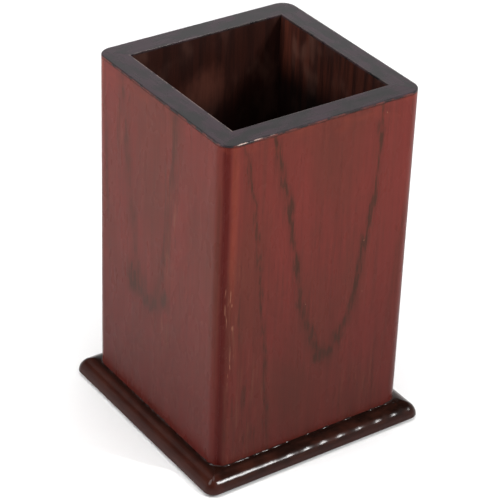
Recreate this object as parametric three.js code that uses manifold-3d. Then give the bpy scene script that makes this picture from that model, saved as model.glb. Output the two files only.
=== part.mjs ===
// A square wooden pen cup: four mitred boards capped with dark edging, on a moulded base plate.
// Millimetres, +Z up. The origin is the middle of the felt pad's underside, and the front faces -Y.

import * as THREE from 'three';
import { ConvexGeometry } from 'three/addons/geometries/ConvexGeometry.js';
import { mergeVertices } from 'three/addons/utils/BufferGeometryUtils.js';
import Module from 'manifold-3d';

const wasm = await Module();
wasm.setup();

// The cup's own size.
const BODY_WIDTH = 74;
const BODY_HEIGHT = 117.5;
const WALL_THICKNESS = 8;
const BODY_CORNER_RADIUS = 5;

// The dark veneer strips on the boards' top edges.
const EDGING_THICKNESS = 0.7;
const EDGING_ARRIS = 0.4;

// The base plate. Its edge is moulded to a quarter ellipse that starts under the boards.
const BASE_OVERHANG = 5.6;
const BASE_THICKNESS = 5.8;
const MOULDING_WIDTH = 7.5;
const BASE_CORNER_RADIUS = MOULDING_WIDTH / 2;

// The pieces that close the cup's bottom.
const FLOOR_THICKNESS = 6;
const FELT_THICKNESS = 1;
const FELT_INSET = 1.8;

// Countersunk wood screws, driven up through the base plate.
const SCREW_SPACING = 40;
const SCREW_LENGTH = 9.5;
const SCREW_SHANK_RADIUS = 1.5;
const SCREW_HEAD_RADIUS = 2.9;
const SCREW_HEAD_RIM = 0.4;
const SCREW_TIP_LENGTH = 2;
const SCREW_SINK = 0.3;
const SLOT_WIDTH = 0.8;
const SLOT_DEPTH = 1;

// Room for glue between the boards, round the floor panel and round the screws.
const GLUE_LINE = 0.1;
const SCREW_CLEARANCE = 0.1;

// Heights of the faces that the pieces rest on.
const BASE_BOTTOM = FELT_THICKNESS;
const BASE_TOP = BASE_BOTTOM + BASE_THICKNESS;
const WALL_TOP = BASE_TOP + BODY_HEIGHT - EDGING_THICKNESS;
const BODY_TOP = BASE_TOP + BODY_HEIGHT;

const WELL_WIDTH = BODY_WIDTH - 2 * WALL_THICKNESS;
const BASE_WIDTH = BODY_WIDTH + 2 * BASE_OVERHANG;

const ARC_STEPS = 6;
const MOULDING_STEPS = 12;
const ROUND_STEPS = 24;
const REACH = BODY_WIDTH;
const SIDES = ['front', 'right', 'back', 'left'];

const FINISHES = {
  stained_wood: { color: 0x703734, roughness: 0.35, metalness: 0 },
  dark_edging: { color: 0x4d4848, roughness: 0.5, metalness: 0 },
  dark_lacquer: { color: 0x2e1712, roughness: 0.15, metalness: 0 },
  inner_wood: { color: 0x2a1411, roughness: 0.6, metalness: 0 },
  felt: { color: 0x1b1a1a, roughness: 1, metalness: 0 },
  zinc_steel: { color: 0x9a9a96, roughness: 0.35, metalness: 1 },
};

function toSolid(geometry) {
  for (const name of ['normal', 'uv']) geometry.deleteAttribute(name);
  const merged = mergeVertices(geometry, 1e-4);
  const corners = Array.from(merged.index.array);
  const triVerts = [];
  for (let i = 0; i < corners.length; i += 3) {
    const [a, b, c] = corners.slice(i, i + 3);
    if (a !== b && b !== c && c !== a) triVerts.push(a, b, c);
  }
  return new wasm.Manifold(new wasm.Mesh({
    numProp: 3,
    vertProperties: new Float32Array(merged.attributes.position.array),
    triVerts: new Uint32Array(triVerts),
  }));
}

function toGeometry(solid) {
  const mesh = solid.getMesh();
  const geometry = new THREE.BufferGeometry();
  geometry.setAttribute('position', new THREE.BufferAttribute(mesh.vertProperties, 3));
  geometry.setIndex(new THREE.BufferAttribute(mesh.triVerts, 1));
  geometry.computeVertexNormals();
  return geometry;
}

function roundedSquare(width, radius) {
  const half = width / 2;
  const centre = half - radius;
  const outline = new THREE.Shape();
  outline.absarc(centre, centre, radius, 0, Math.PI / 2);
  outline.absarc(-centre, centre, radius, Math.PI / 2, Math.PI);
  outline.absarc(-centre, -centre, radius, Math.PI, 1.5 * Math.PI);
  outline.absarc(centre, -centre, radius, 1.5 * Math.PI, 2 * Math.PI);
  return outline;
}

// A straight-sided slab of an outline between two heights.
function slab(outline, bottom, top) {
  const settings = { depth: top - bottom, bevelEnabled: false, curveSegments: ARC_STEPS };
  const geometry = new THREE.ExtrudeGeometry(outline, settings);
  return toSolid(geometry.translate(0, 0, bottom));
}

function box(width, depth, bottom, top) {
  const geometry = new THREE.BoxGeometry(width, depth, top - bottom);
  return toSolid(geometry.translate(0, 0, (bottom + top) / 2));
}

// A slab whose upper edge is rounded inwards by inset and down by drop.
function mouldedSlab(outline, bottom, top, inset, drop) {
  const geometry = new THREE.ExtrudeGeometry(outline, {
    depth: top - bottom,
    bevelEnabled: true,
    bevelThickness: drop,
    bevelSize: inset,
    bevelOffset: -inset,
    bevelSegments: ARC_STEPS,
    curveSegments: ARC_STEPS,
  });
  const rounded = toSolid(geometry.translate(0, 0, bottom - drop));
  return rounded.intersect(box(2 * REACH, 2 * REACH, bottom, top));
}

// The quarter of the cup behind one face: everything between the two mitres that end its board.
function mitreWedge(bottom, top) {
  const offset = GLUE_LINE / Math.SQRT2;
  const outline = new THREE.Shape();
  outline.moveTo(0, -offset);
  outline.lineTo(-REACH, -REACH - offset);
  outline.lineTo(REACH, -REACH - offset);
  return slab(outline, bottom, top);
}

function revolved(profile) {
  const points = profile.map(([radius, height]) => new THREE.Vector2(radius, height));
  const geometry = new THREE.LatheGeometry(points, ROUND_STEPS);
  return toSolid(geometry.rotateX(Math.PI / 2));
}

function wallBoard() {
  const block = slab(roundedSquare(BODY_WIDTH, BODY_CORNER_RADIUS), BASE_TOP, WALL_TOP);
  const well = box(WELL_WIDTH, WELL_WIDTH, 0, BODY_TOP);
  return block.subtract(well).intersect(mitreWedge(0, BODY_TOP));
}

function edgingStrip() {
  const outline = roundedSquare(BODY_WIDTH, BODY_CORNER_RADIUS);
  const cap = mouldedSlab(outline, WALL_TOP, BODY_TOP, EDGING_ARRIS, EDGING_ARRIS);
  const well = box(WELL_WIDTH, WELL_WIDTH, 0, 2 * BODY_TOP);
  return cap.subtract(well).intersect(mitreWedge(0, 2 * BODY_TOP));
}

// A countersunk screw along +Z. A positive growth gives the space that it turns in.
function screwBody(growth) {
  const shank = SCREW_SHANK_RADIUS + growth;
  const head = SCREW_HEAD_RADIUS + growth;
  const shankStart = SCREW_HEAD_RIM + head - shank;
  return revolved([
    [0, -growth],
    [head, -growth],
    [head, SCREW_HEAD_RIM],
    [shank, shankStart],
    [shank, SCREW_LENGTH - SCREW_TIP_LENGTH],
    [0, SCREW_LENGTH + growth],
  ]);
}

function screwPlaces() {
  const reach = SCREW_SPACING / 2;
  return [[-reach, -reach], [reach, -reach], [reach, reach], [-reach, reach]];
}

function screw() {
  const slotLength = 2 * SCREW_HEAD_RADIUS;
  const slot = box(slotLength, SLOT_WIDTH, -SLOT_DEPTH, SLOT_DEPTH);
  return screwBody(0).subtract(slot);
}

// A block with the four holes that the screws are driven into.
function drilled(block) {
  let result = block;
  for (const [x, y] of screwPlaces()) {
    const hole = screwBody(SCREW_CLEARANCE).translate([x, y, BASE_BOTTOM + SCREW_SINK]);
    const mouth = revolved([
      [0, -BASE_BOTTOM],
      [SCREW_HEAD_RADIUS + SCREW_CLEARANCE, -BASE_BOTTOM],
      [SCREW_HEAD_RADIUS + SCREW_CLEARANCE, SCREW_HEAD_RIM],
      [0, SCREW_HEAD_RIM],
    ]).translate([x, y, BASE_BOTTOM + SCREW_SINK]);
    result = result.subtract(hole.add(mouth));
  }
  return result;
}

// The moulding runs round the plate's rounded corners, so each level up is a rounded square with a
// smaller radius. Above the height where the radius is used up, the mouldings meet in mitres.
function mouldedPlate() {
  const points = [];
  for (let step = 0; step <= MOULDING_STEPS; step++) {
    const angle = (step / MOULDING_STEPS) * (Math.PI / 2);
    const inset = MOULDING_WIDTH * (1 - Math.cos(angle));
    const radius = Math.max(BASE_CORNER_RADIUS - inset, 0);
    const height = BASE_BOTTOM + BASE_THICKNESS * Math.sin(angle);
    const level = roundedSquare(BASE_WIDTH - 2 * inset, radius);
    for (const { x, y } of level.getPoints(ARC_STEPS)) points.push(new THREE.Vector3(x, y, height));
  }
  return toSolid(new ConvexGeometry(points));
}

function basePlate() {
  return drilled(mouldedPlate());
}

function floorPanel() {
  const width = WELL_WIDTH - 2 * GLUE_LINE;
  return drilled(box(width, width, BASE_TOP, BASE_TOP + FLOOR_THICKNESS));
}

function feltPad() {
  const outline = roundedSquare(BASE_WIDTH - 2 * FELT_INSET, BASE_CORNER_RADIUS - FELT_INSET);
  return slab(outline, 0, FELT_THICKNESS);
}

function piece(name, solid, finish) {
  const mesh = new THREE.Mesh(toGeometry(solid), new THREE.MeshStandardMaterial(FINISHES[finish]));
  mesh.name = name;
  return mesh;
}

const penCup = new THREE.Group();
penCup.name = 'pen_cup';

penCup.add(piece('felt_pad', feltPad(), 'felt'));
penCup.add(piece('base_plate', basePlate(), 'dark_lacquer'));
penCup.add(piece('floor_panel', floorPanel(), 'inner_wood'));

// The four sides are the front one, turned about the cup's axis in quarter turns.
for (const [turn, side] of SIDES.entries()) {
  const group = new THREE.Group();
  group.rotation.z = turn * Math.PI / 2;
  group.add(piece(`${side}_wall`, wallBoard(), 'stained_wood'));
  group.add(piece(`rim_edging_${side}`, edgingStrip(), 'dark_edging'));
  penCup.add(group);
}

for (const [index, [x, y]] of screwPlaces().entries()) {
  const mesh = piece(`base_screw_${index + 1}`, screw(), 'zinc_steel');
  mesh.position.set(x, y, BASE_BOTTOM + SCREW_SINK);
  penCup.add(mesh);
}

export default penCup;
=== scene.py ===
import math

import bmesh
import bpy
from mathutils import Matrix, Vector, noise


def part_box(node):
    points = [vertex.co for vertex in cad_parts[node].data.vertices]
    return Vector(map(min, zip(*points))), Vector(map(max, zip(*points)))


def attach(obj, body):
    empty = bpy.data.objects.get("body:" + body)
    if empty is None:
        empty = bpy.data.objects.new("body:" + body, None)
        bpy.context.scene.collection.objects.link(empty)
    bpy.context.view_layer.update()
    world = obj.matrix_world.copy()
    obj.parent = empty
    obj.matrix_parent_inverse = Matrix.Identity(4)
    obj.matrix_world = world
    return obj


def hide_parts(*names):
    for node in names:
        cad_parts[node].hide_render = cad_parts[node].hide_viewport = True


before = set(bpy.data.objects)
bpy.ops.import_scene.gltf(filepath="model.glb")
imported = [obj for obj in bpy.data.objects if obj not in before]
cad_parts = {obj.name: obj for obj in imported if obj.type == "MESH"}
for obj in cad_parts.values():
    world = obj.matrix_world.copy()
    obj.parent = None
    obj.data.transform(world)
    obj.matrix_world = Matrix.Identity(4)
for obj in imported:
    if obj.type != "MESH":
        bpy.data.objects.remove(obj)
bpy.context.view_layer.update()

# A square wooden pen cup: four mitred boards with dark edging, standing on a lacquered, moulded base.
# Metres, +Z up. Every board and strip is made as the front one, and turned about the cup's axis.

MM = 0.001
SIDES = ("front", "right", "back", "left")

# ---------------------------------------------------------------------------------------------------
# Sizes, from the frame
# ---------------------------------------------------------------------------------------------------

wall_low, wall_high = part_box("front_wall")
edging_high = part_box("rim_edging_front")[1]
base_low, base_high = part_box("base_plate")
felt_low, felt_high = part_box("felt_pad")

BODY_HALF = -wall_low.y
WELL_HALF = -wall_high.y
WALL_BOTTOM = wall_low.z
WALL_TOP = wall_high.z
RIM_TOP = edging_high.z
BASE_HALF = base_high.x
BASE_BOTTOM = base_low.z
BASE_TOP = base_high.z
FELT_HALF = felt_high.x

# The shapes that the boxes don't give. A support loop keeps a flat face flat beside a rounded edge.
BODY_RADIUS = 5 * MM
MITRE_GAP = 0.01 * MM
BOARD_ARRIS = 0.15 * MM
RIM_ARRIS = 0.4 * MM
INNER_ARRIS = 0.15 * MM
BOARD_SUPPORT = 1 * MM
CORNER_SUPPORT = 0.6 * MM
RIM_SUPPORT = 0.1 * MM
WELL_FACE_DEPTH = 0.5 * MM
MOULDING_WIDTH = 7.5 * MM
BASE_RADIUS = 3.75 * MM
MITRE_RADIUS = 0.2 * MM
BASE_ARRIS = 0.3 * MM
FELT_RADIUS = 1.95 * MM
SCREW_SHANK_RADIUS = 1.5 * MM
SCREW_HEAD_RIM = 0.4 * MM
HOLE_CLEARANCE = 0.1 * MM
HOLE_OVERCUT = 1 * MM

# The half width and the corner radius of the two rings that the plate's flat top is lofted through, and
# the moulding's first ring, just outside the bead.
TOP_MIDDLE = (WELL_HALF + 1 * MM, 0.5 * MM)
TOP_EDGE = (BODY_HALF - 0.02 * MM, BODY_RADIUS - 0.02 * MM)
MOULDING_START = BODY_HALF + 0.55 * MM

# The lacquer's bead along the boards: how high it stands, as a share, at each share of its width.
BEAD_WIDTH = 0.5 * MM
BEAD_HEIGHT = 0.5 * MM
BEAD_PROFILE = ((0.0, 1.0), (0.15, 0.72), (0.35, 0.4), (0.55, 0.2), (0.8, 0.05), (1.0, 0.0))
BEAD_LUMP_LENGTH = 2 * MM
BEAD_LUMP_STRENGTH = 1.4
BEAD_FILL = 0.2
BEAD_FRONT_FILL = 0.45
BEAD_FRONT_SLOPE = 0.5
BEAD_FULLEST = 1.1

# The slow ripple that a hand-held scraper left in the moulding, under the lacquer. It grows along the
# front side from left to right, as a share of its full depth, and is slight on the other sides.
RIPPLE_LENGTH = 7.2 * MM
RIPPLE_DEPTH = 0.078 * MM
RIPPLE_AT_MIDDLE = 0.42
RIPPLE_GROWTH = 0.62
RIPPLE_LEAST = 0.03
RIPPLE_ELSEWHERE = 0.06
RIPPLE_ENDS_FROM = 0.9
RIPPLE_ENDS_TO = 0.98
RIPPLE_PHASE = -2.7
RIPPLE_SIDE_PHASE = 1.7
RIPPLE_WANDER = 0.9
RIPPLE_WANDERS_PER_METRE = 60

# The felt pad's cut edge: its inset in millimetres at each share of its thickness.
FELT_EDGE = ((0.3, 0.0), (0.08, 0.18), (0.0, 0.5), (0.05, 0.82), (0.25, 1.0))
FELT_FRAY = 0.12 * MM
FELT_FRAY_LENGTH = 0.8 * MM

CORNER_STEPS = 12
SIDE_STEPS = 200
FELT_SIDE_STEPS = 160
MOULDING_STEPS = 26
ARRIS_STEPS = 4
HOLE_STEPS = 32


# ---------------------------------------------------------------------------------------------------
# Mesh helpers
# ---------------------------------------------------------------------------------------------------

def make_piece(name, mesh_builder, materials, sharp_angle=35):
    """An object from a bmesh, smooth except at edges sharper than sharp_angle degrees."""
    mesh = bpy.data.meshes.new(name)
    bmesh.ops.recalc_face_normals(mesh_builder, faces=mesh_builder.faces)
    mesh_builder.to_mesh(mesh)
    mesh_builder.free()
    for polygon in mesh.polygons:
        polygon.use_smooth = True
    mesh.set_sharp_from_angle(angle=math.radians(sharp_angle))
    for material in materials:
        mesh.materials.append(material)
    piece = bpy.data.objects.new(name, mesh)
    bpy.context.scene.collection.objects.link(piece)
    return piece


def loft(rings):
    """A closed body through rings of the same number of points, capped at both ends."""
    builder = bmesh.new()
    loops = [[builder.verts.new(point) for point in ring] for ring in rings]
    for lower, upper in zip(loops, loops[1:]):
        count = len(lower)
        for i in range(count):
            j = (i + 1) % count
            builder.faces.new((lower[i], lower[j], upper[j], upper[i]))
    builder.faces.new(reversed(loops[0]))
    builder.faces.new(loops[-1])
    return builder


def square_ring(half, radius, side_steps=SIDE_STEPS):
    """Plan points of a rounded square, anticlockwise from the left end of its front side."""
    core = half - radius
    side = [(core * (2 * i / side_steps - 1), -half) for i in range(side_steps)]
    for i in range(CORNER_STEPS):
        angle = math.pi / 2 * (i / CORNER_STEPS - 1)
        side.append((core + radius * math.cos(angle), radius * math.sin(angle) - core))
    ring = []
    for turn in range(4):
        rotation = Matrix.Rotation(turn * math.pi / 2, 2)
        ring.extend(rotation @ Vector(point) for point in side)
    return ring


def board_ring(outer_inset, inner_inset, z):
    """The front board's section: inner face, mitre, rounded corner, outer face, corner, mitre."""
    half = BODY_HALF - outer_inset
    radius = BODY_RADIUS - outer_inset
    well = WELL_HALF + inner_inset
    core = half - radius
    support = core - CORNER_SUPPORT
    slack = math.asin(MITRE_GAP / math.sqrt(2) / radius)
    start = -math.pi / 4 - slack
    corner = []
    for i in range(CORNER_STEPS + 1):
        angle = start - (math.pi / 4 - slack) * i / CORNER_STEPS
        corner.append((core + radius * math.cos(angle), radius * math.sin(angle) - core))
    inner = well - MITRE_GAP
    right = [(inner / 2, -well), (inner, -well)] + corner + [(support, -half)]
    left = [(-x, y) for x, y in reversed(right)]
    return [Vector((x, y, z)) for x, y in [(0, -well)] + right + [(0, -half)] + left]


def turned(piece, turn):
    """Turns a piece of the front side to one of the other sides, in quarter turns."""
    piece.matrix_world = Matrix.Rotation(turn * math.pi / 2, 4, "Z")
    return piece


# ---------------------------------------------------------------------------------------------------
# Material helpers
# ---------------------------------------------------------------------------------------------------

class Finish:
    """A material under construction. Lengths in its nodes are millimetres of the piece's own frame."""

    def __init__(self, name):
        self.material = bpy.data.materials.new(name)
        self.material.use_nodes = True
        self.tree = self.material.node_tree
        self.shader = self.tree.nodes["Principled BSDF"]
        place = self.tree.nodes.new("ShaderNodeTexCoord").outputs["Object"]
        self.place = self.vector("SCALE", place, scale=1 / MM)
        split = self.node("SeparateXYZ", {0: self.place})
        self.x, self.y, self.z = split.outputs

    def node(self, kind, inputs, **settings):
        """A shader node of a kind, with its inputs fed and its settings set."""
        made = self.tree.nodes.new("ShaderNode" + kind)
        for key, value in settings.items():
            setattr(made, key, value)
        for key, value in inputs.items():
            self.feed(made.inputs[key], value)
        return made

    def feed(self, socket, value):
        """Links a socket to another node's output, or gives it a plain value."""
        if isinstance(value, bpy.types.NodeSocket):
            self.tree.links.new(value, socket)
        else:
            socket.default_value = value

    def vector(self, operation, *values, scale=None):
        """The result of a vector operation."""
        made = self.node("VectorMath", dict(enumerate(values)), operation=operation)
        if scale is not None:
            made.inputs["Scale"].default_value = scale
        return made.outputs[0]

    def math(self, operation, *values):
        """The result of an operation on numbers."""
        return self.node("Math", dict(enumerate(values)), operation=operation).outputs[0]

    def noise(self, size, seed, detail=2.0, roughness=0.5):
        """Smooth noise from 0 to 1, whose grains have this size along x, y and z.

        Every pattern of one material has its own seed, so that no two of them line up.
        """
        moved = self.vector("ADD", self.place, (37.0 * seed, 11.0 * seed, 23.0 * seed))
        scaled = self.vector("DIVIDE", moved, size)
        inputs = {"Vector": scaled, "Scale": 1.0, "Detail": detail, "Roughness": roughness}
        return self.node("TexNoise", inputs).outputs[0]

    def swing(self, reach, size, seed, detail=2.0):
        """Smooth noise that swings about zero, as far as reach to either side."""
        return self.math("MULTIPLY_ADD", self.noise(size, seed, detail), 2 * reach, -reach)

    def fade(self, value, start, end, low=0.0, high=1.0):
        """Smoothly from low to high as value goes from start to end. start may be above end."""
        if start > end:
            start, end, low, high = end, start, high, low
        inputs = {"Value": value, "From Min": start, "From Max": end, "To Min": low, "To Max": high}
        return self.node("MapRange", inputs, interpolation_type="SMOOTHSTEP").outputs[0]

    def mix(self, factor, first, second):
        """A colour from first to second, either of them a colour or another mix."""
        made = self.tree.nodes.new("ShaderNodeMix")
        made.data_type = "RGBA"
        for socket, value in zip((made.inputs[0], made.inputs[6], made.inputs[7]), (factor, first, second)):
            self.feed(socket, value)
        return made.outputs[2]

    def scaled(self, colour, factor):
        """A colour times a number from nodes."""
        made = self.node("VectorMath", {0: colour, "Scale": factor}, operation="SCALE")
        return made.outputs[0]

    def bump(self, layers):
        """A normal from (height from 0 to 1, depth in millimetres) pairs."""
        height = None
        for value, depth in layers:
            layer = self.math("MULTIPLY", value, depth * MM)
            height = layer if height is None else self.math("ADD", height, layer)
        inputs = {"Height": height, "Distance": 1.0, "Strength": 1.0}
        return self.node("Bump", inputs).outputs[0]

    def done(self, colour, roughness, normal=None, **values):
        """Feeds the shader. values are plain numbers or colours for its other sockets."""
        self.feed(self.shader.inputs["Base Color"], colour)
        self.feed(self.shader.inputs["Roughness"], roughness)
        if normal is not None:
            self.feed(self.shader.inputs["Normal"], normal)
        for key, value in values.items():
            self.feed(self.shader.inputs[key.replace("_", " ")], value)
        return self.material


# ---------------------------------------------------------------------------------------------------
# Materials
# ---------------------------------------------------------------------------------------------------

# The boards' stain, and what shows where it is rubbed through. The dark red of the corners and feet is
# painted shade, and the pale colour of the rim's arris is partly a painted highlight.
RED_STAIN = (0.126, 0.0210, 0.0165, 1)
BROWN_STAIN = (0.100, 0.0215, 0.0150, 1)
STREAK_STAIN = (0.072, 0.0190, 0.0130, 1)
RING_STAIN = (0.050, 0.0165, 0.0100, 1)
TAN_STAIN = (0.150, 0.0520, 0.0300, 1)
# Painted shade: the dark red of the boards' corners and of their feet.
PAINTED_SHADE_RED = (0.074, 0.0085, 0.0065, 1)
RUBBED_STAIN = (0.200, 0.0400, 0.0220, 1)
BARE_WOOD = (0.420, 0.2100, 0.1300, 1)
# Partly a painted highlight: the pale glint on the rim strips' outer arris. It also shows real wear on their
# inner arris.
PALE_GLINT_AND_WEAR = (0.380, 0.2700, 0.2300, 1)
DARK_STAIN = (0.010, 0.0065, 0.0062, 1)

INNER_DARK = (0.018, 0.0052, 0.0036, 1)
INNER_RED = (0.062, 0.0150, 0.0085, 1)
INNER_BROWN = (0.060, 0.0240, 0.0170, 1)
# Painted light, for a lit patch on the back board's inner face.
INNER_LIT = (0.130, 0.0420, 0.0280, 1)

VENEER_BLACK = (0.0090, 0.0075, 0.0080, 1)
VENEER_PURPLE = (0.0220, 0.0110, 0.0160, 1)

LACQUER_DARK = (0.0080, 0.0026, 0.0016, 1)
LACQUER_BROWN = (0.0330, 0.0094, 0.0056, 1)
# Painted light, for the base's left side.
LACQUER_LIT_RED = (0.0500, 0.0120, 0.0080, 1)
# Painted reflection of the floor, for the base's lower edge.
LACQUER_FLOOR_REFLECTION = (0.0260, 0.0085, 0.0068, 1)
# Painted shade, for the base beside the boards.
LACQUER_SHADED = (0.0060, 0.0024, 0.0016, 1)

# Where along each rim strip the outer arris is painted pale: a painted highlight, the lamp's glint on it.
GLINT_PARTS = {"front": (-35, -30), "right": (20, 24), "back": (-10, -5), "left": (33, 38)}

# How each board's inner face differs, much of it painted light and painted shade, and how large the stripes
# are on an upright board and on a flat one.
INNER_LOOKS = {
    "front": {"contrast": 0.25, "painted_shade": 0.6},
    "right": {"contrast": 0.6, "painted_light_end": 1.0, "painted_shade": 0.12, "shade_top": 114.0},
    "back": {"contrast": 0.25, "painted_shade": 0.6, "painted_light_patch": (0.2, 103.5, 9.0, 8.5, 0.5)},
    "left": {"contrast": 0.25, "painted_shade": 0.6},
}
UPRIGHT_STRIPES = (2.2, 2.2, 40)
FLAT_STRIPES = (40, 1.6, 1.6)

# How glossy each rim strip is, how bare the nicks by each board's left corner are, and how pale each
# strip's inner arris is rubbed.
RIM_GLOSS = {"front": 0.23, "right": 0.29, "back": 0.29, "left": 0.26}
NICKS = {"front": 0.42, "right": 0.2, "back": 0.2, "left": 0.2}
INNER_WEAR = {"front": 0.05, "right": 0.05, "back": 0.05, "left": 0.22}


AXIS_BENDS_FROM = 75.0


class Figure:
    """The growth rings that a board's outer face cuts through: a stack of upright parabolas.

    centre is where their axis stands along x, lean is how much it bends aside above AXIS_BENDS_FROM, and
    spread is how wide they open. All lengths are millimetres on the board's face.
    rings are (height, width, strength), and smudges are (x, z, half width, half height, strength).
    grain is where the fibres show as crisp dark and tan lines, written as a smudge is.
    foot is how light painted shade leaves the board's foot, against 1 at its top, and redness how much
    redder and darker painted shade makes it.
    """

    def __init__(self, centre, lean, spread, rings, smudges, grain, foot, redness, seed):
        self.centre = centre
        self.lean = lean
        self.spread = spread
        self.rings = rings
        self.smudges = smudges
        self.grain = grain
        self.foot = foot
        self.redness = redness
        self.seed = seed


FIGURES = {
    "front": Figure(
        centre=4.7, lean=-0.0016, spread=4.7,
        rings=((37, 2.7, 1.2), (-86, 1.5, 1.0), (104, 2.2, 0.12)),
        smudges=(
            (2.4, 37.0, 4.0, 3.0, 1.6), (8.4, 42.2, 3.6, 3.2, 1.5), (-12.6, 96.5, 2.3, 7.0, 1.5),
            (16.6, 73.0, 1.9, 8.0, 1.3), (21.0, 114.0, 2.0, 5.0, 1.1), (4.0, 72.0, 20.0, 42.0, 0.22),
            (-9.0, 28.0, 8.0, 15.0, 0.3),
        ),
        grain=((-26.0, 20.0, 10.0, 30.0, 0.9), (-31.0, 62.0, 3.5, 24.0, 0.8), (20.0, 18.0, 14.0, 16.0, 0.5)),
        foot=0.66, redness=0.15, seed=1,
    ),
    "right": Figure(
        centre=-6.0, lean=0.0010, spread=6.0,
        rings=((18, 3.0, 0.9), (-70, 2.6, 0.6), (84, 2.6, 0.45)),
        smudges=((-5.0, 21.0, 7.0, 4.0, 0.5),),
        grain=((16.0, 60.0, 8.0, 50.0, 0.5),),
        foot=0.74, redness=0.3, seed=2,
    ),
    "back": Figure(
        centre=3.0, lean=-0.0008, spread=5.2,
        rings=((60, 3.0, 0.9), (-30, 2.8, 0.7), (-140, 2.2, 0.5)),
        smudges=((3.0, 61.0, 6.0, 4.0, 0.5),),
        grain=((-14.0, 50.0, 9.0, 45.0, 0.5),),
        foot=0.74, redness=0.3, seed=3,
    ),
    "left": Figure(
        centre=-4.0, lean=-0.0006, spread=3.4,
        rings=((47, 4.0, 0.8), (-120, 2.6, 0.4)),
        smudges=(
            (-13.0, 52.5, 7.0, 7.0, 1.3), (-4.0, 48.0, 6.0, 3.6, 1.3), (5.0, 53.0, 4.0, 5.0, 1.3),
            (-8.7, 49.8, 4.5, 4.2, 1.3), (0.8, 49.6, 4.0, 3.4, 1.2), (-20.0, 92.0, 5.0, 20.0, 0.3),
        ),
        grain=((8.5, 88.0, 5.0, 34.0, 1.3), (-22.0, 104.0, 3.0, 12.0, 1.0), (4.0, 40.0, 6.0, 10.0, 0.8)),
        foot=0.86, redness=0.6, seed=4,
    ),
}


def within(finish, place, ragged=0.0):
    """From 1 in the middle of an ellipse on the board's face to 0 past its edge, times its strength.

    ragged is a number from nodes that moves the edge in and out.
    """
    x, z, half_width, half_height, strength = place
    sideways = finish.math("MULTIPLY_ADD", finish.x, 1 / half_width, -x / half_width)
    upward = finish.math("MULTIPLY_ADD", finish.z, 1 / half_height, -z / half_height)
    reach = finish.math("MULTIPLY_ADD", upward, upward, finish.math("MULTIPLY", sideways, sideways))
    reach = finish.math("ADD", finish.math("SQRT", reach), ragged)
    return finish.fade(reach, 0.2, 1.3, strength, 0.0)


def growth_rings(finish, figure):
    """How dark each point is for the late wood of the rings, from 0 to 1."""
    seed = figure.seed
    sway = finish.swing(2.2, (16, 16, 42), seed)
    steps = finish.swing(1.8, (2.2, 2.2, 11), seed + 3)
    flutter = finish.math("ADD", steps, finish.swing(1.3, (0.6, 0.6, 5), seed + 5))
    above = finish.math("MAXIMUM", finish.math("SUBTRACT", finish.z, AXIS_BENDS_FROM), 0.0)
    lean = finish.math("MULTIPLY", finish.math("MULTIPLY", above, above), figure.lean)
    across = finish.math("SUBTRACT", finish.x, figure.centre)
    across = finish.math("SUBTRACT", across, lean)
    across = finish.math("ADD", across, finish.math("ADD", sway, flutter))
    # level is where the tip of the parabola through each point stands. Distances from a ring are taken
    # upright, so they count for less where the parabola is steep.
    square = finish.math("MULTIPLY", across, across)
    level = finish.math("MULTIPLY_ADD", square, -1 / figure.spread, finish.z)
    gradient = finish.math("MULTIPLY", across, 2 / figure.spread)
    gradient = finish.math("MULTIPLY_ADD", gradient, gradient, 1.0)
    thinning = finish.math("POWER", gradient, 0.3)
    total = None
    for height, width, strength in figure.rings:
        distance = finish.math("ABSOLUTE", finish.math("SUBTRACT", level, float(height)))
        distance = finish.math("DIVIDE", distance, thinning)
        core = finish.fade(distance, 0.2 * width, 0.9 * width, 0.6 * strength, 0.0)
        halo = finish.fade(distance, 0.0, 2.8 * width, 0.45 * strength, 0.0)
        line = finish.math("ADD", core, halo)
        # A ring with its tip below the board shows as two branches, the right one fainter.
        if height < 0:
            line = finish.math("MULTIPLY", line, finish.fade(across, 8.0, 20.0, 1.0, 0.3))
        total = line if total is None else finish.math("MAXIMUM", total, line)
    cloudy = finish.swing(0.8, (2.5, 2.5, 7), seed + 7, detail=3.0)
    for smudge in figure.smudges:
        total = finish.math("MAXIMUM", total, within(finish, smudge, cloudy))
    return total


def stain_colour(finish, figure, rings):
    """The stain without its wear: clouds and streaks, with rings and open grain, and painted shade that
    makes the foot redder and darker.
    """
    seed = figure.seed
    clouds = finish.noise((18, 18, 60), seed + 10, detail=3.0)
    colour = finish.mix(finish.fade(clouds, 0.35, 0.68), RED_STAIN, BROWN_STAIN)
    streaks = finish.noise((1.8, 1.8, 44), seed + 15, detail=2.0)
    colour = finish.mix(finish.fade(streaks, 0.48, 0.72, 0.0, 0.42), colour, STREAK_STAIN)
    # Painted shade: redder and darker towards the foot, where less light is reflected onto the board.
    colour = finish.mix(finish.fade(finish.z, 75.0, 5.0, 0.0, figure.redness), colour, PAINTED_SHADE_RED)
    colour = finish.mix(rings, colour, RING_STAIN)
    open_grain = None
    for place in figure.grain:
        spot = within(finish, place)
        open_grain = spot if open_grain is None else finish.math("MAXIMUM", open_grain, spot)
    lines = finish.noise((0.75, 0.75, 14), seed + 35, detail=2.0, roughness=0.6)
    dark_lines = finish.math("MULTIPLY", open_grain, finish.fade(lines, 0.56, 0.66, 0.0, 0.8))
    tan_lines = finish.math("MULTIPLY", open_grain, finish.fade(lines, 0.44, 0.34, 0.0, 0.6))
    colour = finish.mix(dark_lines, colour, RING_STAIN)
    return finish.mix(tan_lines, colour, TAN_STAIN)


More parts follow.
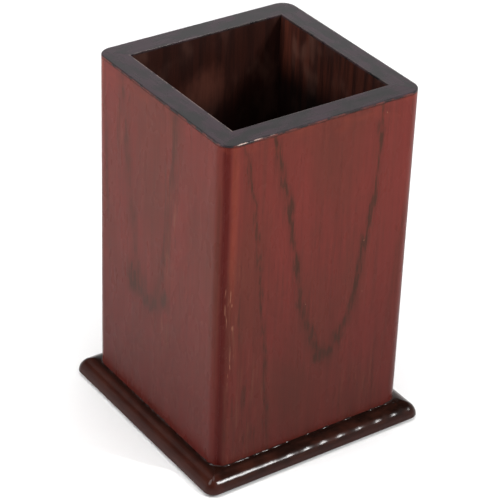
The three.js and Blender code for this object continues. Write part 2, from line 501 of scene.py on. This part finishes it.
def shaded_and_rubbed_corners(finish, seed, colour, left_end, right_end):
    """Painted shade darkens each corner's rounding, and the stain is rubbed through beside it."""
    # Painted shade: a dark band along each corner's rounding.
    painted_shade = finish.math("MAXIMUM", finish.fade(left_end, 34.0, 34.8), finish.fade(right_end, 34.4, 35.4))
    rubbed = finish.math("MULTIPLY", finish.fade(left_end, 30.9, 32.3), finish.fade(left_end, 34.2, 33.5))
    patches = finish.fade(finish.noise((6, 6, 22), seed + 50), 0.3, 0.6, 0.15, 1.0)
    patches = finish.math("MULTIPLY", patches, finish.fade(finish.z, 48.0, 90.0, 0.1, 1.0))
    rubbed = finish.math("MULTIPLY", rubbed, patches)
    colour = finish.mix(painted_shade, colour, PAINTED_SHADE_RED)
    return finish.mix(finish.math("MULTIPLY", rubbed, 0.42), colour, RUBBED_STAIN)


def knocks(finish, side, seed, colour, left_end):
    """Small nicks by the left corner, at half height, and a few bare flecks anywhere."""
    nicks = finish.noise((0.5, 0.5, 5.0), seed + 60, detail=1.0)
    near_corner = finish.fade(left_end, 31.0, 32.6)
    near_corner = finish.math("MULTIPLY", near_corner, finish.fade(left_end, 35.4, 34.4))
    knocked = finish.math("MULTIPLY", finish.fade(finish.z, 34.0, 44.0), finish.fade(finish.z, 88.0, 70.0))
    near_corner = finish.math("MULTIPLY", near_corner, knocked)
    nick = finish.math("MULTIPLY", finish.fade(nicks, 0.64, 0.71, 0.0, NICKS[side]), near_corner)
    flecks = finish.noise((0.7, 0.7, 1.3), seed + 70, detail=0.0)
    fleck = finish.fade(flecks, 0.89, 0.92, 0.0, 0.5)
    return finish.mix(finish.math("MAXIMUM", nick, fleck), colour, BARE_WOOD)


def stained_top(finish, seed, colour):
    """The stain is thinner in places along the top, and the edging's dark stain has crept down a little."""
    top = WALL_TOP / MM
    thin = finish.fade(finish.noise((9, 9, 4), seed + 85), 0.45, 0.7, 0.0, 0.3)
    thin = finish.math("MULTIPLY", thin, finish.fade(finish.z, top - 9, top - 1))
    colour = finish.mix(thin, colour, RUBBED_STAIN)
    creep = finish.math("MULTIPLY_ADD", finish.noise((1.6, 1.6, 0.5), seed + 80), 0.9, -0.2)
    height = finish.math("ADD", finish.z, creep)
    return finish.mix(finish.fade(height, top - 0.25, top + 0.15, 0.0, 0.4), colour, DARK_STAIN)


def stained_board(side):
    """The outer faces: red-brown stain under satin lacquer, with rings, fibres, pores and wear at the edges,
    and painted shade at the corners and towards the foot.
    """
    finish = Finish("stained_" + side)
    figure = FIGURES[side]
    seed = figure.seed
    fibres = finish.noise((0.9, 0.9, 26), seed + 20, detail=4.0, roughness=0.65)
    pores = finish.noise((0.28, 0.28, 3.6), seed + 30, detail=1.0)
    pore = finish.fade(pores, 0.66, 0.74)
    strokes = finish.fade(finish.noise((0.8, 0.8, 5), seed + 25, detail=2.0), 0.36, 0.6, 0.35, 1.0)
    broken = finish.math("MULTIPLY", strokes, finish.fade(fibres, 0.3, 0.6, 0.7, 1.0))
    rings = finish.math("MULTIPLY", growth_rings(finish, figure), broken)

    wander = finish.swing(0.35, (3, 3, 9), seed + 40)
    left_end = finish.math("SUBTRACT", wander, finish.x)
    right_end = finish.math("ADD", wander, finish.x)
    shade = finish.fade(fibres, 0.25, 0.75, 1.09, 0.91)
    shade = finish.math("MULTIPLY", shade, finish.math("MULTIPLY_ADD", pore, -0.22, 1.0))
    # Painted shade: darker towards the board's foot, and a little lighter at its top.
    shade = finish.math("MULTIPLY", shade, finish.fade(finish.z, 0.0, 115.0, figure.foot, 1.04))
    colour = stain_colour(finish, figure, rings)
    colour = shaded_and_rubbed_corners(finish, seed, colour, left_end, right_end)
    colour = finish.scaled(colour, shade)
    colour = knocks(finish, side, seed, colour, left_end)
    colour = stained_top(finish, seed, colour)

    roughness = finish.math("MULTIPLY_ADD", finish.noise((5, 5, 12), seed + 90), 0.16, 0.2)
    roughness = finish.math("MULTIPLY_ADD", rings, 0.08, roughness)
    waves = finish.noise((11, 11, 30), seed + 95, detail=1.0)
    normal = finish.bump([(fibres, 0.006), (pore, -0.006), (waves, 0.05)])
    return finish.done(colour, roughness, normal, Specular_IOR_Level=0.07)


def inner_wood(
    name, seed, stripe_size, contrast=1.0, painted_light_end=0.0, painted_shade=1.0, shade_top=106.0, painted_light_patch=None
):
    """The boards' inner faces and the floor: thin dark stain, uneven, with open grain.

    contrast is how strongly the stripes show. The other settings paint light and shade: how much painted
    light brightens the face's right end, how dark painted shade leaves the face far below shade_top, and
    where a pool of painted light lies, written as a smudge is.
    """
    finish = Finish(name)
    stripes = finish.noise(stripe_size, seed, detail=3.0, roughness=0.6)
    blotches = finish.noise((9, 9, 16), seed + 1, detail=2.0)
    fibres = finish.noise((0.4, 0.4, 14), seed + 2, detail=2.0)
    colour = finish.mix(finish.fade(stripes, 0.4, 0.66, 0.0, contrast), INNER_DARK, INNER_RED)
    colour = finish.mix(finish.fade(blotches, 0.52, 0.72, 0.0, 0.8), colour, INNER_BROWN)
    # Painted light: a pool of light where the lamp shines into the well.
    if painted_light_patch is not None:
        ragged = finish.swing(0.6, (4, 4, 9), seed + 3)
        colour = finish.mix(within(finish, painted_light_patch, ragged), colour, INNER_LIT)
    colour = finish.scaled(colour, finish.fade(fibres, 0.25, 0.75, 1.1, 0.9))
    # Painted light: lighter towards the face's right end, where more light reaches it.
    colour = finish.scaled(colour, finish.fade(finish.x, 4.0, 28.0, 1.0, 1.0 + painted_light_end))
    # Painted shade: darker deep in the well, below shade_top.
    colour = finish.scaled(colour, finish.fade(finish.z, shade_top - 14, shade_top, painted_shade, 1.0))
    roughness = finish.math("MULTIPLY_ADD", blotches, 0.25, 0.32)
    normal = finish.bump([(fibres, 0.03), (stripes, 0.03)])
    return finish.done(colour, roughness, normal, Specular_IOR_Level=0.25)


def rim_edging(side, seed):
    """Nearly black veneer, satin, with fine grain along the strip. One part of its outer arris carries a
    painted highlight, a pale glint.
    """
    finish = Finish("edging_" + side)
    grain = finish.noise((16, 0.35, 0.35), seed, detail=3.0, roughness=0.6)
    clouds = finish.noise((9, 5, 5), seed + 1)
    colour = finish.mix(finish.fade(clouds, 0.35, 0.65), VENEER_BLACK, VENEER_PURPLE)
    colour = finish.scaled(colour, finish.fade(grain, 0.25, 0.75, 0.6, 1.5))
    # The strip's outer side took the boards' stain, unevenly.
    top = RIM_TOP / MM
    outer = -BODY_HALF / MM
    below = finish.fade(finish.z, top - 0.02, top - 0.3)
    side_stain = finish.math("MULTIPLY", below, finish.fade(finish.y, outer + 0.5, outer + 0.2))
    patchy = finish.fade(finish.noise((3, 3, 3), seed + 3, detail=2.0), 0.40, 0.62)
    colour = finish.mix(side_stain, colour, finish.mix(patchy, DARK_STAIN, BROWN_STAIN))
    # The outer arris is where a point is farthest out and up at once.
    outward = finish.math("ADD", finish.math("MULTIPLY", finish.y, -1.0), finish.z)
    sharp = (BODY_HALF + RIM_TOP) / MM
    arris = finish.fade(outward, sharp - 0.34, sharp - 0.24)
    # Painted highlight: the outer arris is painted pale in one part, as the lamp's glint; elsewhere the
    # arris is rougher.
    rubs_and_glint_breaks = finish.noise((5, 5, 5), seed + 2, detail=3.0, roughness=0.7)
    glint_from, glint_to = GLINT_PARTS[side]
    glint_part = finish.fade(finish.x, glint_from - 1, glint_from)
    glint_part = finish.math("MULTIPLY", glint_part, finish.fade(finish.x, glint_to + 16, glint_to))
    painted_glint = finish.math("MULTIPLY", finish.math("MULTIPLY", arris, glint_part), finish.fade(rubs_and_glint_breaks, 0.46, 0.56))
    colour = finish.mix(painted_glint, colour, PALE_GLINT_AND_WEAR)
    inner_edge = finish.fade(finish.y, -WELL_HALF / MM - 0.6, -WELL_HALF / MM - 0.3)
    inner_edge = finish.math("MULTIPLY", inner_edge, finish.fade(rubs_and_glint_breaks, 0.4, 0.5, 0.0, INNER_WEAR[side]))
    colour = finish.mix(inner_edge, colour, PALE_GLINT_AND_WEAR)
    arris_outside_glint = finish.math("MULTIPLY", arris, finish.math("SUBTRACT", 1.0, glint_part))
    roughness = finish.math("MULTIPLY_ADD", clouds, 0.1, 0.22)
    roughness = finish.math("MULTIPLY_ADD", arris_outside_glint, 0.35, roughness)
    normal = finish.bump([(grain, 0.006), (clouds, 0.01)])
    return finish.done(colour, roughness, normal, Specular_IOR_Level=RIM_GLOSS[side])


def base_lacquer():
    """Thick gloss lacquer on mottled brown wood, with painted reflection along the lower edge, painted light
    on the left side and painted shade by the boards.
    """
    finish = Finish("base_lacquer")
    mottle = finish.noise((9, 9, 3), 7, detail=3.0, roughness=0.6)
    low = BASE_BOTTOM / MM
    wander = finish.swing(1.2, (7, 7, 3), 8)
    height = finish.math("ADD", finish.z, wander)
    shade = finish.fade(mottle, 0.30, 0.72)
    colour = finish.mix(shade, LACQUER_DARK, LACQUER_BROWN)
    # Painted reflection: the lower edge takes an even, lighter brown in place of the floor's reflection in
    # the lacquer.
    colour = finish.mix(finish.fade(height, low + 3.6, low + 0.6, 0.0, 0.8), colour, LACQUER_FLOOR_REFLECTION)
    near = BODY_HALF / MM
    # Painted light: the left side is redder and lighter, as light from the left falls on it.
    left = finish.fade(finish.x, 1 - near, -near - 1, 0.0, 0.4)
    colour = finish.mix(left, colour, LACQUER_LIT_RED)
    outward = finish.math("MAXIMUM", finish.math("ABSOLUTE", finish.x), finish.math("ABSOLUTE", finish.y))
    outward = finish.math("MULTIPLY_ADD", wander, 0.5, outward)
    # Painted shade: darker in a band beside the boards, their contact shade and dark reflection.
    painted_board_shade = finish.fade(outward, near + 2.0, near + 0.8, 0.0, 0.65)
    colour = finish.mix(painted_board_shade, colour, LACQUER_SHADED)
    orange_peel = finish.noise((1.4, 1.4, 1.4), 9, detail=1.0)
    roughness = finish.math("MULTIPLY_ADD", finish.noise((6, 6, 6), 10), 0.06, 0.10)
    normal = finish.bump([(orange_peel, 0.012)])
    return finish.done(colour, roughness, normal, Specular_IOR_Level=0.14)


def felt():
    """Black wool felt, matted and a little hairy."""
    finish = Finish("felt")
    matted = finish.noise((0.9, 0.9, 0.9), 12, detail=4.0, roughness=0.7)
    hairs = finish.noise((0.12, 0.5, 0.2), 13, detail=3.0, roughness=0.7)
    colour = finish.mix(matted, (0.008, 0.0075, 0.007, 1), (0.026, 0.023, 0.021, 1))
    colour = finish.scaled(colour, finish.fade(hairs, 0.3, 0.7, 0.7, 1.4))
    normal = finish.bump([(matted, 0.15), (hairs, 0.12)])
    return finish.done(colour, 1.0, normal, Specular_IOR_Level=0.2, Sheen_Weight=0.4, Sheen_Roughness=0.6)


def zinc_steel():
    """Zinc-plated steel with a dull bloom."""
    finish = Finish("zinc_steel")
    brushed = finish.noise((0.08, 0.6, 0.6), 14, detail=3.0)
    bloom = finish.noise((1.2, 1.2, 1.2), 15)
    colour = finish.mix(bloom, (0.40, 0.40, 0.385, 1), (0.27, 0.27, 0.26, 1))
    roughness = finish.math("MULTIPLY_ADD", bloom, 0.25, 0.28)
    normal = finish.bump([(brushed, 0.01)])
    return finish.done(colour, roughness, normal, Metallic=1.0)


def pale_floor():
    """Matt and nearly white."""
    finish = Finish("pale_floor")
    return finish.done((0.93, 0.93, 0.93, 1), 0.9, Specular_IOR_Level=0.1)


# ---------------------------------------------------------------------------------------------------
# Pieces
# ---------------------------------------------------------------------------------------------------

def wall_board(side, turn):
    """One side's board, with stain and lacquer outside and a thin dark stain inside."""
    levels = [
        (0.0, WALL_BOTTOM),
        (0.0, WALL_BOTTOM + BOARD_SUPPORT),
        (0.0, (WALL_BOTTOM + WALL_TOP) / 2),
        (0.0, WALL_TOP - BOARD_SUPPORT),
        (0.0, WALL_TOP - BOARD_ARRIS),
        (BOARD_ARRIS, WALL_TOP),
    ]
    builder = loft([board_ring(inset, 0.0, z) for inset, z in levels])
    # The faces towards the well have the second material.
    for face in builder.faces:
        if face.calc_center_median().y > -WELL_HALF - WELL_FACE_DEPTH:
            face.material_index = 1
    inner = inner_wood("inner_" + side, 40 + 3 * turn, UPRIGHT_STRIPES, **INNER_LOOKS[side])
    materials = [stained_board(side), inner]
    board = turned(make_piece(side + "_board", builder, materials), turn)
    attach(board, "root")
    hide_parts(side + "_wall")


def rim_strip(side, turn):
    """The veneer strip on one board's top edge, with rounded arrises along its outer and inner side."""
    rings = [board_ring(RIM_SUPPORT, 0.0, WALL_TOP), board_ring(0.0, 0.0, WALL_TOP + RIM_SUPPORT)]
    for i in range(ARRIS_STEPS + 1):
        angle = math.pi / 2 * i / ARRIS_STEPS
        inset = 1 - math.cos(angle)
        drop = 1 - math.sin(angle)
        rings.append(board_ring(RIM_ARRIS * inset, INNER_ARRIS * inset, RIM_TOP - RIM_ARRIS * drop))
    rings.append(board_ring(RIM_ARRIS + RIM_SUPPORT, INNER_ARRIS + RIM_SUPPORT, RIM_TOP))
    strip = turned(make_piece(side + "_edging", loft(rings), [rim_edging(side, 20 + 4 * turn)]), turn)
    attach(strip, "root")
    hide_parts("rim_edging_" + side)


def moulding_height(reach):
    """The quarter-elliptic moulding's height, where it is this far out from the plate's middle."""
    along = (reach - (BASE_HALF - MOULDING_WIDTH)) / MOULDING_WIDTH
    return BASE_BOTTOM + (BASE_TOP - BASE_BOTTOM) * math.sqrt(1 - min(max(along, 0), 1) ** 2)


def ripple(x, y, share):
    """How far the moulding stands in or out at a point. share is 1 half-way round its curve."""
    if abs(y) >= abs(x):
        along, side = (x if y < 0 else -x), (0 if y < 0 else 2)
    else:
        along, side = (y if x > 0 else -y), (1 if x > 0 else 3)
    position = along / BASE_HALF
    growth = RIPPLE_ELSEWHERE
    if side == 0:
        growth = min(max(RIPPLE_AT_MIDDLE + RIPPLE_GROWTH * position, RIPPLE_LEAST), 1.0)
    ends = 1 - min(max((abs(position) - RIPPLE_ENDS_FROM) / (RIPPLE_ENDS_TO - RIPPLE_ENDS_FROM), 0), 1)
    phase = 2 * math.pi * along / RIPPLE_LENGTH + RIPPLE_PHASE + RIPPLE_SIDE_PHASE * side
    phase += RIPPLE_WANDER * noise.noise(Vector((along * RIPPLE_WANDERS_PER_METRE, side * 5.0, 0)))
    return RIPPLE_DEPTH * growth * ends * share * math.sin(phase)


def drill(piece):
    """Cuts a countersunk hole through the piece for each of the screws."""
    for number in range(1, 5):
        low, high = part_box(f"base_screw_{number}")
        head = (high.x - low.x) / 2 + HOLE_CLEARANCE
        shank = SCREW_SHANK_RADIUS + HOLE_CLEARANCE
        rim = low.z + SCREW_HEAD_RIM
        mouth = low.z - HOLE_OVERCUT
        profile = ((head, mouth), (head, rim), (shank, rim + head - shank), (shank, high.z))
        middle = (low + high) / 2
        rings = []
        for radius, z in profile:
            ring = []
            for i in range(HOLE_STEPS):
                angle = 2 * math.pi * i / HOLE_STEPS
                ring.append((middle.x + radius * math.cos(angle), middle.y + radius * math.sin(angle), z))
            rings.append(ring)
        cutter = make_piece("drill", loft(rings), [])
        cut = piece.modifiers.new("hole", "BOOLEAN")
        cut.object = cutter
        cut.operation = "DIFFERENCE"
        cut.solver = "EXACT"
        graph = bpy.context.evaluated_depsgraph_get()
        drilled = bpy.data.meshes.new_from_object(piece.evaluated_get(graph))
        piece.modifiers.clear()
        piece.data = drilled
        bpy.data.objects.remove(cutter)


def plate_top_rings():
    """The plate's flat top, which the floor panel and the boards hide."""
    rings = []
    for half, radius in (TOP_MIDDLE, TOP_EDGE):
        rings.append([Vector((x, y, BASE_TOP)) for x, y in square_ring(half, radius)])
    return rings


def bead_rings():
    """The lumpy bead of lacquer that lies along the boards, in front fuller towards the left."""
    rings = []
    for out, share in BEAD_PROFILE:
        ring = []
        for x, y in square_ring(BODY_HALF + BEAD_WIDTH * out, BODY_RADIUS + BEAD_WIDTH * out):
            lumps = noise.noise(Vector((x / BEAD_LUMP_LENGTH, y / BEAD_LUMP_LENGTH, 4.0)))
            fill = BEAD_FILL
            if y < -BODY_HALF:
                fill = BEAD_FRONT_FILL - BEAD_FRONT_SLOPE * x / BODY_HALF
            uneven = min(max(0.0, fill + BEAD_LUMP_STRENGTH * lumps), BEAD_FULLEST)
            z = moulding_height(max(abs(x), abs(y))) + BEAD_HEIGHT * share * uneven
            ring.append(Vector((x, y, z)))
        rings.append(ring)
    return rings


def moulding_rings():
    """The rippled moulding, from beside the bead down to the plate's lower arris."""
    rings = []
    flat = BASE_HALF - MOULDING_WIDTH
    height = BASE_TOP - BASE_BOTTOM
    first = math.acos((MOULDING_START - flat) / MOULDING_WIDTH)
    for i in range(MOULDING_STEPS + 1):
        angle = first * (1 - i / MOULDING_STEPS)
        half = flat + MOULDING_WIDTH * math.cos(angle)
        z = max(BASE_BOTTOM + height * math.sin(angle), BASE_BOTTOM + BASE_ARRIS)
        radius = max(MITRE_RADIUS, half - (BASE_HALF - BASE_RADIUS))
        # The ripple moves each point along the moulding's own normal, most of all half-way round.
        share = math.sin(2 * angle) ** 2
        outward = math.cos(angle) / MOULDING_WIDTH
        upward = math.sin(angle) / height
        length = math.hypot(outward, upward)
        ring = []
        for x, y in square_ring(half, radius):
            shift = ripple(x, y, share)
            spread = 1 + shift * outward / length / half
            ring.append(Vector((x * spread, y * spread, z + shift * upward / length)))
        rings.append(ring)
    lowest = square_ring(BASE_HALF - BASE_ARRIS, BASE_RADIUS - BASE_ARRIS)
    rings.append([Vector((x, y, BASE_BOTTOM)) for x, y in lowest])
    return rings


def moulded_base():
    """The lacquered base plate, drilled for its screws."""
    rings = plate_top_rings() + bead_rings() + moulding_rings()
    base = make_piece("moulded_base", loft(rings), [base_lacquer()], sharp_angle=50)
    drill(base)
    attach(base, "root")
    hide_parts("base_plate")


def felt_sole():
    """The felt pad under the base, with a soft, slightly frayed cut edge."""
    rings = []
    for inset, share in FELT_EDGE:
        z = felt_low.z + (felt_high.z - felt_low.z) * share
        ring = []
        for x, y in square_ring(FELT_HALF - inset * MM, FELT_RADIUS - inset * MM, FELT_SIDE_STEPS):
            fray = noise.noise(Vector((x / FELT_FRAY_LENGTH, y / FELT_FRAY_LENGTH, share * 3)))
            spread = 1 + FELT_FRAY * (fray - 0.5) / FELT_HALF
            ring.append(Vector((x * spread, y * spread, z)))
        rings.append(ring)
    sole = make_piece("felt_sole", loft(rings), [felt()])
    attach(sole, "root")
    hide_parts("felt_pad")


def finish_cad_node(name, material):
    """Gives a CAD node that shows as it is its material."""
    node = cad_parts[name]
    node.data.materials.clear()
    node.data.materials.append(material)


for turn, side in enumerate(SIDES):
    wall_board(side, turn)
    rim_strip(side, turn)
moulded_base()
felt_sole()

finish_cad_node("floor_panel", inner_wood("floor_wood", 60, FLAT_STRIPES))
steel = zinc_steel()
for number in range(1, 5):
    finish_cad_node(f"base_screw_{number}", steel)


# ---------------------------------------------------------------------------------------------------
# Floor, light and camera
# ---------------------------------------------------------------------------------------------------

FLOOR_HALF = 3.0

# How bright the sky is up to one height on the unit sphere, and from another height upwards. The lean is
# how much those heights rise towards the right.
SKY_LOW = 0.9
SKY_HIGH = 0.1
SKY_DIMS_FROM = 0.45
SKY_DIMS_TO = 0.63
SKY_LEAN = 0.25

CAMERA_TARGET = Vector((-0.0003, 0.0002, 0.0580))
CAMERA_DISTANCE = 0.7032
CAMERA_AZIMUTH = -35.40
CAMERA_ELEVATION = 31.84
CAMERA_ROLL = 2.23
CAMERA_ANGLE = 13.316


def direction(azimuth, elevation):
    """From the cup towards a place round it. Azimuth 0 is in front of it, and 90 to its right."""
    a = math.radians(azimuth)
    e = math.radians(elevation)
    return Vector((math.sin(a) * math.cos(e), -math.cos(a) * math.cos(e), math.sin(e)))


def add_floor():
    """A plain pale floor under the cup."""
    builder = bmesh.new()
    corners = ((-1, -1), (1, -1), (1, 1), (-1, 1))
    builder.faces.new([builder.verts.new((FLOOR_HALF * x, FLOOR_HALF * y, 0)) for x, y in corners])
    make_piece("floor", builder, [pale_floor()])


def add_light(name, azimuth, elevation, distance, width, height, power):
    """An oval area light that faces the cup's middle."""
    data = bpy.data.lights.new(name, "AREA")
    data.shape = "ELLIPSE"
    data.size = width
    data.size_y = height
    data.energy = power
    lamp = bpy.data.objects.new(name, data)
    back = direction(azimuth, elevation)
    middle = Vector((0, 0, RIM_TOP / 2))
    turn = back.to_track_quat("Z", "Y").to_matrix().to_4x4()
    lamp.matrix_world = Matrix.Translation(middle + back * distance) @ turn
    bpy.context.scene.collection.objects.link(lamp)


def add_sky():
    """A soft studio sky, bright low down and dim overhead, which leans a little to one side."""
    world = bpy.data.worlds.new("studio")
    world.use_nodes = True
    tree = world.node_tree
    background = tree.nodes["Background"]
    place = tree.nodes.new("ShaderNodeTexCoord")
    split = tree.nodes.new("ShaderNodeSeparateXYZ")
    ramp = tree.nodes.new("ShaderNodeMapRange")
    ramp.interpolation_type = "SMOOTHSTEP"
    ramp.inputs["From Min"].default_value = SKY_DIMS_FROM
    ramp.inputs["From Max"].default_value = SKY_DIMS_TO
    ramp.inputs["To Min"].default_value = SKY_LOW
    ramp.inputs["To Max"].default_value = SKY_HIGH
    lean = tree.nodes.new("ShaderNodeMath")
    lean.operation = "MULTIPLY_ADD"
    lean.inputs[1].default_value = -SKY_LEAN
    tree.links.new(place.outputs["Generated"], split.inputs[0])
    tree.links.new(split.outputs["X"], lean.inputs[0])
    tree.links.new(split.outputs["Z"], lean.inputs[2])
    tree.links.new(lean.outputs[0], ramp.inputs["Value"])
    tree.links.new(ramp.outputs[0], background.inputs["Strength"])
    background.inputs["Color"].default_value = (1, 1, 1, 1)
    bpy.context.scene.world = world


def add_camera():
    """The camera, which looks down at the cup's front left corner."""
    data = bpy.data.cameras.new("camera")
    data.angle = math.radians(CAMERA_ANGLE)
    camera = bpy.data.objects.new("camera", data)
    back = direction(CAMERA_AZIMUTH, CAMERA_ELEVATION)
    turn = back.to_track_quat("Z", "Y").to_matrix().to_4x4()
    roll = Matrix.Rotation(math.radians(CAMERA_ROLL), 4, "Z")
    camera.matrix_world = Matrix.Translation(CAMERA_TARGET + back * CAMERA_DISTANCE) @ turn @ roll
    bpy.context.scene.collection.objects.link(camera)
    bpy.context.scene.camera = camera


add_floor()
add_sky()
# The lamp is tall and narrow: the rippled moulding mirrors it as a streak that breaks up into dots.
add_light("lamp", azimuth=31.6, elevation=37.1, distance=0.92, width=0.065, height=0.26, power=4.75)
add_light("soft_back", azimuth=-152, elevation=39, distance=1.2, width=0.34, height=0.34, power=0.17)
add_light("soft_left", azimuth=-100, elevation=40, distance=0.42, width=0.25, height=0.25, power=1.08)
add_light("soft_front", azimuth=5, elevation=40, distance=0.42, width=0.25, height=0.25, power=0.12)
add_light("soft_top", azimuth=0, elevation=90, distance=1.2, width=1.08, height=1.08, power=10.0)
add_camera()
bpy.context.scene.view_settings.view_transform = "Standard"
